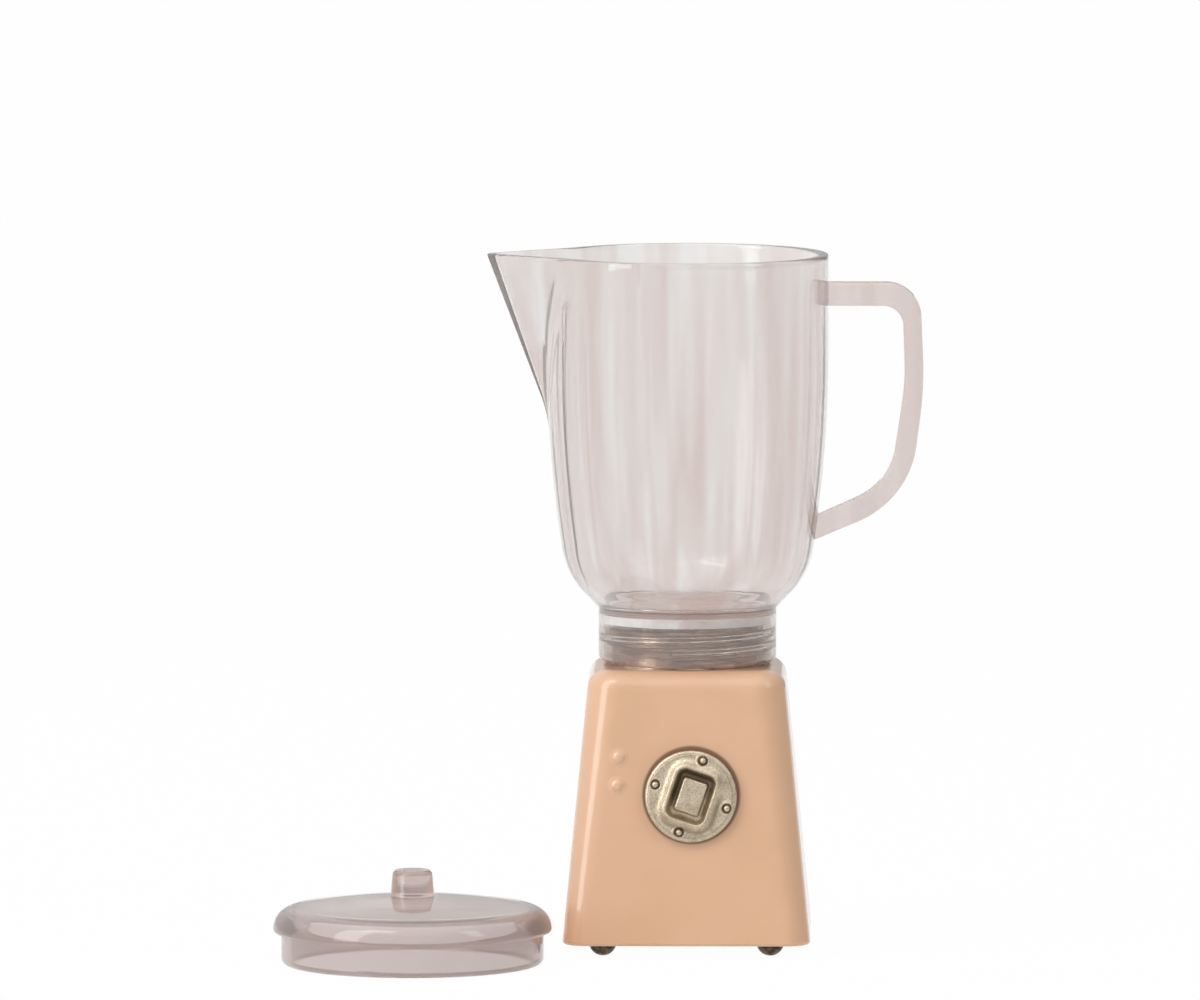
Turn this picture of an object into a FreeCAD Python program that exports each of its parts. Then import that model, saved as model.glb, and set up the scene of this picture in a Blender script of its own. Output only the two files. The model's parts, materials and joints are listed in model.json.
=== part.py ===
import FreeCAD, Part
import math
import os

# A doll's-house blender in millimetres, +Z up, the front towards -Y.
# The origin is on the table, under the middle of the square base.
# It stands on four domed studs. The clear jug screws on to a metal neck,
# the dial turns on a spindle through the front, and the lid lies beside it.

V = FreeCAD.Vector
UP = V(0, 0, 1)

# Base casting
edge_height = 1.7          # table to the lower edge of the shell
shell_height = 35.2        # lower edge to the flat top
shell_bottom_width = 32.0  # flat to flat at the lower edge
shell_top_width = 25.2     # flat to flat at the top, as if there were no shoulder
corner_bottom = 3.0        # upright corners, at the lower edge
corner_top = 4.3           # upright corners, at the top
shoulder_radius = 2.6      # round between the sides and the top
lower_edge_radius = 0.45
shell_wall = 1.0

# Two raised bumps cast on the front, left of the dial
bump_places = [(-8.7, 25.9), (-8.9, 22.3)]   # across, above the table
bump_height = 0.44
bump_crown_radius = 0.8
bump_crown_base = 0.13     # where the crown meets the soft foot
bump_foot_radius = 1.6
bump_foot_hollow = 0.03    # how far the foot is hollowed between its two ends
bump_root = 0.5            # how deep the bump is rooted in the wall
bump_foot_sink = 0.03      # its soft foot ends this far under the surface

# Bottom plate, corner posts and the four domed foot studs
plate_recess = 0.5         # plate above the shell's lower edge
plate_thickness = 0.8
plate_clearance = 0.08
stud_inset = 5.2           # each stud from the shell's sides at the lower edge
stud_radius = 1.8
stud_flat_radius = 0.3     # small flat worn on the dome
stud_shank_radius = 0.9
stud_shank_length = 5.0    # above the plate
stud_clearance = 0.03
post_radius = 2.0

# Threaded neck on top of the base, with its washer and nut inside
neck_height = 5.3          # above the flat top
neck_flange_clearance = 0.35   # between the flange and the skirt's bore
neck_flange_height = 1.0
neck_top_chamfer = 0.3
neck_bore_radius = 3.6
neck_cap_thickness = 1.2   # closed top over the bore
stem_radius = 5.0
stem_length = 3.7          # below the flat top
stem_clearance = 0.05
washer_radius = 7.6
washer_thickness = 0.5
nut_flats = 13.0
nut_height = 1.7
seat_gap = 0.02            # paint film between clamped faces

# Thread of the neck, and of the jug's skirt over it
thread_pitch = 1.6
thread_height = 0.8        # of both ridges
thread_root_width = 0.9
thread_crest_width = 0.35
thread_first_rise = 1.45   # first ridge above the flat top
neck_thread_turns = 2.05
jug_thread_turns = 1.25
thread_start_deg = -100.0  # both threads start just left of the front
thread_tip_clearance = 0.3   # from each ridge's tip to the other piece's root
thread_bury = 0.12         # ridges run this deep into what carries them

# Sealing ring between the neck and the jug's floor
seal_thickness = 1.15
seal_width = 2.2
seal_clearance = 0.05

# Jug: skirt, floor, bowl and spout
skirt_radius = 11.5
skirt_wall = 0.65
skirt_gap = 0.12           # skirt above the base's flat top
skirt_edge_radius = 1.1
floor_thickness = 1.0
skirt_corner_drop = 0.3    # outside corner below the floor's top
bowl_wall = 1.15
bowl_break_radius = 13.2   # end of the sloping foot of the bowl
bowl_break_rise = 1.75     # above the skirt's corner
bowl_foot_deg = 47.0       # slope of the wall there
belly_radius = 16.35
belly_rise = 8.4
belly_deg = 80.0
belly_bulge = 0.66
bowl_radius = 18.2
bowl_full_rise = 31.8
upper_bulge = 0.42
bowl_height = 45.8         # skirt's corner to the rim
spout_reach = 26.0         # tip from the jug's axis
spout_drop = 20.7          # rim to the spout's lowest point
spout_half_deg = 41.0
spout_tip_radius = 0.9
spout_lip = 2.0            # wall at the tip, along the spout
spout_inner_end = 11.0     # wedge ends this far from the axis
spout_root = 0.1           # its lowest point starts this deep in the wall
spout_first_share = 0.02   # its first section, as a share of the one at the rim

# Handle of the jug, a bar bent in the middle plane. Each corner is
# (from the axis, below the rim, corner radius), from the top to the bottom.
handle_outer = [(30.0, 3.65, 4.6), (30.6, 17.0, 45.0), (28.67, 31.9, 12.5)]
handle_inner = [(27.75, 6.7, 2.6), (28.1, 16.5, 30.0), (26.1, 29.7, 8.5)]
handle_end_drop = 37.4     # lower root, on the outer side
handle_end_width = 3.0     # of the lower root, up and down
handle_end_radius = 16.5   # the two ends, from the axis
handle_depth = 3.0
handle_edge_radius = 0.55
handle_glue = 0.03         # film of glue between handle and bowl

# Dial on the front. Its own frame has X across, Y up the face and Z outwards.
dial_across = 0.6
dial_above_table = 20.95
dial_radius = 6.0
dial_thickness = 1.1
dial_edge_radius = 0.55
dial_gap = 0.12            # dial off the enamel
dial_turned_deg = -18.5    # how far it is turned at rest
dial_pip_circle = 4.86
dial_pip_radius = 0.44
dial_pip_groove_radius = 0.66
dial_pip_groove_depth = 0.25
dial_pip_count = 4
dial_pip_stem = 0.12       # straight part of the pip, from the groove's floor
ridge_half_width = 3.3
ridge_half_height = 4.1
ridge_corner = 1.7
ridge_rise = 0.7
ridge_round = 0.55
trench_half_width = 2.1
trench_half_height = 2.7
trench_corner = 0.7
trench_depth = 0.15        # below the dial's face
grip_half_width = 1.62
grip_half_height = 2.07
grip_corner = 0.4
grip_rise = 1.0
grip_round = 0.22
spindle_radius = 1.0
spindle_in_dial = 1.2
spindle_press = 0.02
spindle_end_stand = 0.5    # spindle past the clip
bush_radius = 1.7
bush_running_clearance = 0.05
bush_press = 0.02
bush_flange_radius = 2.5
bush_flange_thickness = 0.5
spring_thickness = 0.2
spring_dish = 0.3
spring_radius = 2.3
spring_bore_clearance = 0.15
spring_play = 0.03
clip_radius = 2.2
clip_thickness = 0.4
clip_groove_radius = 0.72
clip_clearance = 0.03
clip_mouth = 1.5

# Lid, lying flat beside the base
lid_beside = 1.2           # between the brim and the plane of the base's left foot
lid_front = -20.45
flange_radius = 16.86
flange_wall = 1.2
flange_drop = 4.15         # brim's underside above the table
flange_edge_radius = 0.9
brim_radius = 17.9
brim_edge = 0.42
lid_shoulder_radius = 2.8
lid_dome_radius = 85.0
lid_wall = 1.1
lid_inner_corner = 0.8
lid_height = 8.75          # top of the dome above the table
knob_radius = 2.8
knob_top_radius = 2.58
knob_height = 3.4          # above the top of the dome
knob_edge_radius = 0.75
knob_stem_radius = 1.0
knob_stem_clearance = 0.02
knob_rivet_radius = 1.7
knob_rivet_thickness = 0.45
knob_sink = 0.03           # knob above the dome at its rim

# Heights and places that follow from the sizes above
top_z = edge_height + shell_height
lean = math.atan((shell_bottom_width - shell_top_width) / 2 / shell_height)
stud_offset = shell_bottom_width / 2 - stud_inset
plate_z = edge_height + plate_recess
plate_top = plate_z + plate_thickness
ceiling_z = top_z - shell_wall
neck_top = top_z + neck_height
seal_z = neck_top + seal_clearance
floor_z = seal_z + seal_thickness + seal_clearance
floor_top = floor_z + floor_thickness
skirt_z = top_z + skirt_gap
skirt_corner = floor_top - skirt_corner_drop
rim_z = skirt_corner + bowl_height
skirt_bore_radius = skirt_radius - skirt_wall
jug_crest = skirt_bore_radius - thread_height
neck_radius = jug_crest - thread_tip_clearance
neck_crest = neck_radius + thread_height
neck_flange_radius = skirt_bore_radius - neck_flange_clearance
lid_across = -shell_bottom_width / 2 - lid_beside - brim_radius
bush_inner_z = -shell_wall - bush_flange_thickness
spring_z = bush_inner_z - spring_play - spring_dish - spring_thickness
clip_z = spring_z - spring_play - clip_thickness
spindle_z = clip_z - spindle_end_stand
inside_gap = 1.0           # cutters stand this far out of what they cut


def half_width(z):
    """Half the outer width of the base at height z."""
    share = (z - edge_height) / shell_height
    return (shell_bottom_width + (shell_top_width - shell_bottom_width) * share) / 2


def corner_radius(z):
    """Upright corner radius of the base at height z."""
    return corner_bottom + (corner_top - corner_bottom) * (z - edge_height) / shell_height


def segment(a, b, bulge=0.0):
    """A line from a to b, or an arc whose middle stands bulge off that line, to its right."""
    if bulge == 0.0:
        return Part.LineSegment(a, b).toShape()
    along = (b - a).normalize()
    side = V(along.z, 0, -along.x) if abs(a.y) + abs(b.y) == 0 else V(along.y, -along.x, 0)
    return Part.Arc(a, (a + b) * 0.5 + side * bulge, b).toShape()


def quarter(radius):
    """How far the middle of a quarter circle stands off its chord."""
    return radius * (1 - math.cos(math.radians(45)))


def spin(profile):
    """A solid turned about Z. Each point is (radius, height) or (radius, height, bulge to the next)."""
    points = [V(p[0], 0, p[1]) for p in profile]
    bulges = [p[2] if len(p) > 2 else 0.0 for p in profile]
    edges = [segment(a, b, bulge) for a, b, bulge in zip(points, points[1:] + points[:1], bulges)]
    return Part.Face(Part.Wire(edges)).revolve(V(0, 0, 0), UP, 360)


def ring(inner, outer, z, height):
    """A flat ring about Z."""
    return spin([(inner, z), (outer, z), (outer, z + height), (inner, z + height)])


def rounded_rectangle(half_x, half_y, corner, z):
    """A closed wire at height z, with round corners."""
    edges = []
    for turn in range(4):
        reach, side = (half_x, half_y) if turn % 2 == 0 else (half_y, half_x)
        middle = V(reach - corner, side - corner, z)
        tilt = corner * math.cos(math.radians(45))
        pieces = [
            Part.LineSegment(V(reach, corner - side, z), V(reach, side - corner, z)).toShape(),
            Part.Arc(middle + V(corner, 0, 0), middle + V(tilt, tilt, 0), middle + V(0, corner, 0)).toShape(),
        ]
        for piece in pieces:
            piece.rotate(V(0, 0, 0), UP, 90 * turn)
            edges.append(piece)
    return Part.Wire(edges)


def block(half_x, half_y, corner, z, height):
    """An upright block with round corners."""
    return Part.Face(rounded_rectangle(half_x, half_y, corner, z)).extrude(V(0, 0, height))


def flat_edges(shape, z):
    """The edges of a shape that lie at height z."""
    return [e for e in shape.Edges if abs(e.BoundBox.ZMin - z) < 1e-4 and abs(e.BoundBox.ZMax - z) < 1e-4]


def tapered_block(low, high, inset):
    """The base's four leaning walls between two heights, drawn in by inset."""
    wires = []
    for z in (low, high):
        half = half_width(z) - inset
        wires.append(rounded_rectangle(half, half, corner_radius(z) - inset, z))
    return Part.makeLoft(wires, True, True)


def corners(x, y):
    """The four mirrored places of a point."""
    return [(x, -y), (-x, -y), (x, y), (-x, y)]


def helix_ridge(radius, tip, root_width, tip_width, start_z, turns):
    """A thread ridge of trapezoid section, from its root radius to its tip radius."""
    bury = thread_bury if radius < tip else -thread_bury
    section = [
        V(radius - bury, 0, -root_width / 2),
        V(tip, 0, -tip_width / 2),
        V(tip, 0, tip_width / 2),
        V(radius - bury, 0, root_width / 2),
    ]
    spine = Part.Wire(Part.makeHelix(thread_pitch, thread_pitch * turns, radius))
    ridge = spine.makePipeShell([Part.makePolygon(section + section[:1])], True, True)
    ridge.rotate(V(0, 0, 0), UP, thread_start_deg)
    ridge.translate(V(0, 0, start_z))
    return ridge


def on_dial(shape):
    """Puts a shape from the dial's own frame on to the leaning front face."""
    turn = FreeCAD.Rotation(V(1, 0, 0), 90 - math.degrees(lean))
    place = V(dial_across, -half_width(dial_above_table), dial_above_table)
    return shape.transformed(FreeCAD.Placement(place, turn).toMatrix())


def bump(across, above):
    """One low dome, part of a ball on a wide hollowed foot, rooted in the front wall."""
    rise = bump_height - bump_crown_base
    ball = (bump_crown_radius ** 2 + rise ** 2) / (2 * rise)
    chord = math.hypot(bump_crown_radius, rise)
    dome = spin([
        (0, -bump_root),
        (bump_foot_radius, -bump_root),
        (bump_foot_radius, -bump_foot_sink, -bump_foot_hollow),
        (bump_crown_radius, bump_crown_base, ball - math.sqrt(ball ** 2 - chord ** 2 / 4)),
        (0, bump_height),
    ])
    turn = FreeCAD.Rotation(V(1, 0, 0), 90 - math.degrees(lean))
    return dome.transformed(FreeCAD.Placement(V(across, -half_width(above), above), turn).toMatrix())


def make_base_shell():
    """The enamelled casting: leaning walls, round shoulder, corner posts and two bumps."""
    outside = tapered_block(edge_height, top_z, 0)
    outside = outside.makeFillet(shoulder_radius, flat_edges(outside, top_z))
    outside = outside.makeFillet(lower_edge_radius, flat_edges(outside, edge_height))
    inset = shell_wall / math.cos(lean)
    cavity = tapered_block(edge_height - inside_gap, ceiling_z, inset)
    cavity = cavity.makeFillet(shoulder_radius - shell_wall, flat_edges(cavity, ceiling_z))
    for x, y in corners(stud_offset, stud_offset):
        post = Part.makeCylinder(post_radius, top_z - plate_top, V(x, y, plate_top + seat_gap))
        hole = Part.makeCylinder(stud_shank_radius + stud_clearance, stud_shank_length,
                                 V(x, y, plate_top))
        cavity = cavity.cut(post).fuse(hole)
    shell = outside.fuse([bump(x, z) for x, z in bump_places]).cut(cavity)
    shell = shell.cut(Part.makeCylinder(stem_radius + stem_clearance, shell_wall + 2 * inside_gap,
                                        V(0, 0, ceiling_z - inside_gap)))
    bush_hole = Part.makeCylinder(bush_radius + bush_press, shell_wall + 2 * inside_gap,
                                  V(0, 0, -shell_wall - inside_gap))
    return shell.cut(on_dial(bush_hole)).removeSplitter()


def make_base_plate():
    """The bottom plate, let into the shell under the posts."""
    half = half_width(plate_top) - shell_wall / math.cos(lean) - plate_clearance
    plate = block(half, half, corner_radius(plate_top) - shell_wall, plate_z, plate_thickness)
    for x, y in corners(stud_offset, stud_offset):
        hole = Part.makeCylinder(stud_shank_radius + stud_clearance, plate_thickness + 2 * inside_gap,
                                 V(x, y, plate_z - inside_gap))
        plate = plate.cut(hole)
    return plate


def make_foot(x, y):
    """A domed stud, its shank driven through the plate into a corner post."""
    centre = math.sqrt(stud_radius ** 2 - stud_flat_radius ** 2)
    head = Part.makeSphere(stud_radius, V(0, 0, centre))
    head = head.fuse(Part.makeCylinder(stud_radius, plate_z, V(0, 0, centre)))
    head = head.common(Part.makeCylinder(2 * stud_radius, plate_z - seat_gap))
    shank = Part.makeCylinder(stud_shank_radius, plate_thickness + stud_shank_length - seat_gap - stud_clearance,
                              V(0, 0, plate_z - seat_gap))
    foot = head.fuse(shank).removeSplitter()
    foot.translate(V(x, y, 0))
    return foot


def make_neck():
    """The threaded neck, its stem passing down through the shell."""
    flange_top = top_z + neck_flange_height
    body = spin([
        (neck_bore_radius, top_z - stem_length),
        (stem_radius, top_z - stem_length),
        (stem_radius, top_z + seat_gap),
        (neck_flange_radius, top_z + seat_gap),
        (neck_flange_radius, flange_top),
        (neck_radius, flange_top),
        (neck_radius, neck_top - neck_top_chamfer),
        (neck_radius - neck_top_chamfer, neck_top),
        (0, neck_top),
        (0, neck_top - neck_cap_thickness),
        (neck_bore_radius, neck_top - neck_cap_thickness),
    ])
    ridge = helix_ridge(neck_radius, neck_crest, thread_root_width, thread_crest_width,
                        top_z + thread_first_rise, neck_thread_turns)
    return body.fuse(ridge)


def make_neck_washer():
    """The washer under the shell's top."""
    return ring(stem_radius + stem_clearance, washer_radius,
                ceiling_z - seat_gap - washer_thickness, washer_thickness)


def make_neck_nut():
    """The hexagon nut that clamps the neck. Its thread is drawn at its mean size."""
    top = ceiling_z - 2 * seat_gap - washer_thickness
    reach = nut_flats / math.sqrt(3)
    points = [V(reach * math.cos(math.radians(60 * i)), reach * math.sin(math.radians(60 * i)), top - nut_height)
              for i in range(7)]
    nut = Part.Face(Part.makePolygon(points)).extrude(V(0, 0, nut_height))
    bore = Part.makeCylinder(stem_radius + stem_clearance, nut_height + 2 * inside_gap,
                             V(0, 0, top - nut_height - inside_gap))
    return nut.cut(bore)


def make_jug_seal():
    """The sealing ring that lies on the neck, under the jug's floor."""
    outer = skirt_bore_radius - 2 * seal_clearance
    return ring(outer - seal_width, outer, seal_z, seal_thickness)


def bowl_side(inset, top):
    """Profile points of the bowl's side above its foot, drawn in by inset, up to a height."""
    foot = math.radians(bowl_foot_deg)
    belly = math.radians(belly_deg)
    return [
        (bowl_break_radius - inset * math.sin(foot), skirt_corner + bowl_break_rise + inset * math.cos(foot),
         belly_bulge),
        (belly_radius - inset * math.sin(belly), skirt_corner + belly_rise + inset * math.cos(belly),
         upper_bulge),
        (bowl_radius - inset, skirt_corner + bowl_full_rise),
        (bowl_radius - inset, top),
    ]


def outer_bowl(grow=0.0):
    """The jug without its hollows: skirt, bowl and flat mouth, grown outwards by grow."""
    return spin([
        (0, skirt_z),
        (skirt_radius - skirt_edge_radius, skirt_z, quarter(skirt_edge_radius)),
        (skirt_radius, skirt_z + skirt_edge_radius),
        (skirt_radius, skirt_corner),
        *bowl_side(-grow, rim_z),
        (0, rim_z),
    ])


def spout_wedge(reach, base, rise):
    """A cone of V section from the spout's lowest point to the rim, and on above it by rise."""
    half = math.radians(spout_half_deg)
    apex = V(spout_root - bowl_radius, 0, rim_z - spout_drop)
    grow = (spout_drop + rise) / spout_drop
    spread = math.tan(half)
    centre = reach - spout_tip_radius
    touch_x = centre + spout_tip_radius * math.sin(half)
    touch_y = spout_tip_radius * math.cos(half)
    base_y = touch_y + (touch_x - base) * spread
    outline = [
        V(base, base_y, 0),
        V(touch_x, touch_y, 0),
        V(reach, 0, 0),
        V(touch_x, -touch_y, 0),
        V(base, -base_y, 0),
    ]
    wires = []
    for scale in (spout_first_share, grow):
        spots = [apex + V(-(p.x + apex.x) * scale, p.y * scale, spout_drop * scale) for p in outline]
        wires.append(Part.Wire([
            Part.LineSegment(spots[0], spots[1]).toShape(),
            Part.Arc(spots[1], spots[2], spots[3]).toShape(),
            Part.LineSegment(spots[3], spots[4]).toShape(),
            Part.LineSegment(spots[4], spots[0]).toShape(),
        ]))
    return Part.makeLoft(wires, True, True)


def make_jug_body():
    """The clear jug: threaded skirt, floor, bowl and V spout in one moulding."""
    solid = outer_bowl().fuse(spout_wedge(spout_reach, spout_inner_end, 0))
    inner = bowl_side(bowl_wall, rim_z + inside_gap)
    slope = math.radians(bowl_foot_deg)
    foot_radius = inner[0][0] - (inner[0][1] - floor_top) / math.tan(slope)
    hollow = spin([(0, floor_top), (foot_radius, floor_top), *inner, (0, rim_z + inside_gap)])
    solid = solid.cut(hollow.fuse(spout_wedge(spout_reach - spout_lip, spout_inner_end - bowl_wall, inside_gap)))
    solid = solid.cut(Part.makeCylinder(skirt_bore_radius, floor_z - skirt_z + inside_gap,
                                        V(0, 0, skirt_z - inside_gap)))
    ridge = helix_ridge(skirt_bore_radius, jug_crest, thread_root_width, thread_crest_width,
                        top_z + thread_first_rise + thread_pitch / 2, jug_thread_turns)
    return solid.fuse(ridge)


def rounded_path(points):
    """Lines through points that are (x, z, corner radius), each corner a tangent arc."""
    places = [V(p[0], 0, p[1]) for p in points]
    edges = []
    start = places[0]
    for before, here, after, point in zip(places, places[1:], places[2:], points[1:]):
        back = (before - here).normalize()
        on = (after - here).normalize()
        half = back.getAngle(on) / 2
        reach = point[2] / math.tan(half)
        middle = here + (back + on).normalize() * (point[2] / math.sin(half) - point[2])
        edges.append(Part.LineSegment(start, here + back * reach).toShape())
        edges.append(Part.Arc(here + back * reach, middle, here + on * reach).toShape())
        start = here + on * reach
    edges.append(Part.LineSegment(start, places[-1]).toShape())
    return edges


def make_jug_handle():
    """The handle: a bar with soft edges whose ends are shaped to the bowl and bonded on."""
    outer = [(x, rim_z - drop, radius) for x, drop, radius in handle_outer]
    inner = [(x, rim_z - drop, radius) for x, drop, radius in handle_inner]
    outer = [(handle_end_radius - inside_gap, outer[0][1], 0), *outer,
             (handle_end_radius - inside_gap, rim_z - handle_end_drop, 0)]
    inner = [(handle_end_radius - inside_gap, inner[0][1], 0), *inner,
             (handle_end_radius - inside_gap, rim_z - handle_end_drop + handle_end_width, 0)]
    ends = [segment(V(a[0], 0, a[1]), V(b[0], 0, b[1])) for a, b in zip((outer[0], outer[-1]), (inner[0], inner[-1]))]
    face = Part.Face(Part.Wire(Part.__sortEdges__(rounded_path(outer) + rounded_path(inner) + ends)))
    bar = face.extrude(V(0, handle_depth, 0))
    bar.translate(V(0, -handle_depth / 2, 0))
    sides = [e for e in bar.Edges if e.BoundBox.YLength < 1e-4 and e.BoundBox.XMax > handle_end_radius]
    bar = bar.makeFillet(handle_edge_radius, sides)
    return bar.cut(outer_bowl(handle_glue))


def make_dial_knob():
    """The cast dial: a disc with a raised ridge round a trench, and a grip in the middle."""
    disc = spin([
        (0, dial_gap),
        (dial_radius, dial_gap),
        (dial_radius, dial_thickness - dial_edge_radius, quarter(dial_edge_radius)),
        (dial_radius - dial_edge_radius, dial_thickness),
        (0, dial_thickness),
    ])
    root = dial_thickness - trench_depth
    ridge = block(ridge_half_width, ridge_half_height, ridge_corner, root, ridge_rise + trench_depth)
    ridge = ridge.makeFillet(ridge_round, flat_edges(ridge, dial_thickness + ridge_rise))
    trench = block(trench_half_width, trench_half_height, trench_corner, root, ridge_rise + inside_gap)
    grip = block(grip_half_width, grip_half_height, grip_corner, root - trench_depth,
                 grip_rise + 2 * trench_depth)
    grip = grip.makeFillet(grip_round, flat_edges(grip, dial_thickness + grip_rise))
    knob = disc.fuse(ridge).cut(trench).fuse(grip)
    for i in range(dial_pip_count):
        x, y = pip_place(i)
        knob = knob.cut(Part.makeCylinder(dial_pip_groove_radius, dial_pip_groove_depth + inside_gap,
                                          V(x, y, dial_thickness - dial_pip_groove_depth)))
    bore = Part.makeCylinder(spindle_radius + spindle_press, spindle_in_dial + inside_gap,
                             V(0, 0, dial_gap - inside_gap))
    return placed_dial(knob.cut(bore).removeSplitter())


def pip_place(i):
    """Where one of the dial's round-headed pips stands, in the dial's frame."""
    angle = math.radians(360.0 * i / dial_pip_count)
    return dial_pip_circle * math.cos(angle), dial_pip_circle * math.sin(angle)


def placed_dial(shape):
    """Turns a piece of the dial to its rest angle and puts it on the front."""
    shape.rotate(V(0, 0, 0), UP, dial_turned_deg)
    return on_dial(shape)


def make_dial_pips():
    """The four round-headed pips set in the dial's face, as one group."""
    pips = []
    for i in range(dial_pip_count):
        x, y = pip_place(i)
        low = dial_thickness - dial_pip_groove_depth
        stem = Part.makeCylinder(dial_pip_radius, dial_pip_stem, V(x, y, low))
        dome = Part.makeSphere(dial_pip_radius, V(x, y, low + dial_pip_stem), UP, 0, 90, 360)
        pips.append(stem.fuse(dome).removeSplitter())
    return placed_dial(Part.makeCompound(pips))


def make_dial_spindle():
    """The spindle, driven into the dial's back, with a groove for the clip."""
    groove_top = clip_z + clip_thickness + clip_clearance
    spindle = spin([
        (0, spindle_z),
        (spindle_radius, spindle_z),
        (spindle_radius, clip_z - clip_clearance),
        (clip_groove_radius, clip_z - clip_clearance),
        (clip_groove_radius, groove_top),
        (spindle_radius, groove_top),
        (spindle_radius, dial_gap + spindle_in_dial - spindle_press),
        (0, dial_gap + spindle_in_dial - spindle_press),
    ])
    return placed_dial(spindle)


def make_dial_bush():
    """The flanged bush in the shell's front wall, in which the spindle turns."""
    bore = spindle_radius + bush_running_clearance
    return on_dial(spin([
        (bore, bush_inner_z),
        (bush_flange_radius, bush_inner_z),
        (bush_flange_radius, -shell_wall - seat_gap),
        (bush_radius, -shell_wall - seat_gap),
        (bush_radius, 0),
        (bore, 0),
    ]))


def make_dial_spring():
    """The dished spring washer that keeps the dial from rattling."""
    bore = spindle_radius + spring_bore_clearance
    return placed_dial(spin([
        (bore, spring_z),
        (spring_radius, spring_z + spring_dish),
        (spring_radius, spring_z + spring_dish + spring_thickness),
        (bore, spring_z + spring_thickness),
    ]))


def make_dial_clip():
    """The open clip in the spindle's groove."""
    clip = ring(clip_groove_radius + clip_clearance, clip_radius, clip_z, clip_thickness)
    mouth = Part.makeBox(clip_mouth, clip_radius + inside_gap, clip_thickness + 2 * inside_gap,
                         V(-clip_mouth / 2, 0, clip_z - inside_gap))
    return placed_dial(clip.cut(mouth))


def make_lid_cover():
    """The lid: a low dome, a brim that rests on the rim, and a flange that plugs the mouth."""
    start = brim_radius - lid_shoulder_radius
    shoulder_top = lid_height - lid_dome_radius + math.sqrt(lid_dome_radius ** 2 - start ** 2)
    brim_top = shoulder_top - lid_shoulder_radius
    hole = knob_stem_radius + knob_stem_clearance
    inner_flange = flange_radius - flange_wall
    inner_start = inner_flange - lid_inner_corner
    inner_radius = lid_dome_radius - lid_wall
    inner_z = lid_height - lid_dome_radius + math.sqrt(inner_radius ** 2 - inner_start ** 2)
    dome_bulge = start ** 2 / (8 * lid_dome_radius)
    inner_bulge = inner_start ** 2 / (8 * inner_radius)
    lid = spin([
        (inner_flange, 0),
        (flange_radius - flange_edge_radius, 0, quarter(flange_edge_radius)),
        (flange_radius, flange_edge_radius),
        (flange_radius, flange_drop),
        (brim_radius - brim_edge, flange_drop, quarter(brim_edge)),
        (brim_radius, flange_drop + brim_edge),
        (brim_radius, brim_top, quarter(lid_shoulder_radius)),
        (start, shoulder_top, dome_bulge),
        (0, lid_height),
        (0, lid_height - lid_wall, -inner_bulge),
        (inner_start, inner_z, -quarter(lid_inner_corner)),
        (inner_flange, inner_z - lid_inner_corner),
    ])
    return lid.cut(Part.makeCylinder(hole, lid_height + inside_gap))


def make_lid_knob():
    """The knob, its stem riveted over under the lid."""
    seat = lid_height + knob_sink
    under = lid_height - lid_wall - knob_sink
    return spin([
        (0, under - knob_rivet_thickness),
        (knob_rivet_radius, under - knob_rivet_thickness),
        (knob_rivet_radius, under),
        (knob_stem_radius, under),
        (knob_stem_radius, seat),
        (knob_radius, seat),
        (knob_top_radius, seat + knob_height - knob_edge_radius, quarter(knob_edge_radius)),
        (knob_top_radius - knob_edge_radius, seat + knob_height),
        (0, seat + knob_height),
    ])


def beside_base(shape):
    """Moves a piece of the lid to where the lid lies."""
    shape.translate(V(lid_across, lid_front, 0))
    return shape


nodes = {
    "base_shell": make_base_shell(),
    "base_plate": make_base_plate(),
    "threaded_neck": make_neck(),
    "neck_washer": make_neck_washer(),
    "neck_nut": make_neck_nut(),
    "jug_seal": make_jug_seal(),
    "jug_body": make_jug_body(),
    "jug_handle": make_jug_handle(),
    "dial_knob": make_dial_knob(),
    "dial_pips": make_dial_pips(),
    "dial_spindle": make_dial_spindle(),
    "dial_bush": make_dial_bush(),
    "dial_spring": make_dial_spring(),
    "dial_clip": make_dial_clip(),
    "lid_cover": beside_base(make_lid_cover()),
    "lid_knob": beside_base(make_lid_knob()),
}
foot_names = ["foot_front_right", "foot_front_left", "foot_back_right", "foot_back_left"]
for foot_name, (x, y) in zip(foot_names, corners(stud_offset, stud_offset)):
    nodes[foot_name] = make_foot(x, y)

for name, shape in nodes.items():
    shape.exportStep("parts/" + name + ".step")
    box = shape.BoundBox
    print(f"{name:18s} solids {len(shape.Solids)} valid {shape.isValid()} volume {shape.Volume:9.2f}"
          f"  z {box.ZMin:7.2f} to {box.ZMax:7.2f}")
print(f"rim {rim_z:.2f} mm above the table, neck top {neck_top:.2f}, lean {math.degrees(lean):.2f} degrees")
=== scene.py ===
# %% [markdown]
# A doll's-house blender: a peach enamelled base on four studs, a cast dial, a
# threaded metal neck, a clear jug with a V spout and a handle, and a clear lid
# that lies beside it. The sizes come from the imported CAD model, and this
# notebook dresses it. Lengths are in millimetres until they go into a mesh,
# because that is how a small moulding is measured.

# %% Load the frame
import json
import math

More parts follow.
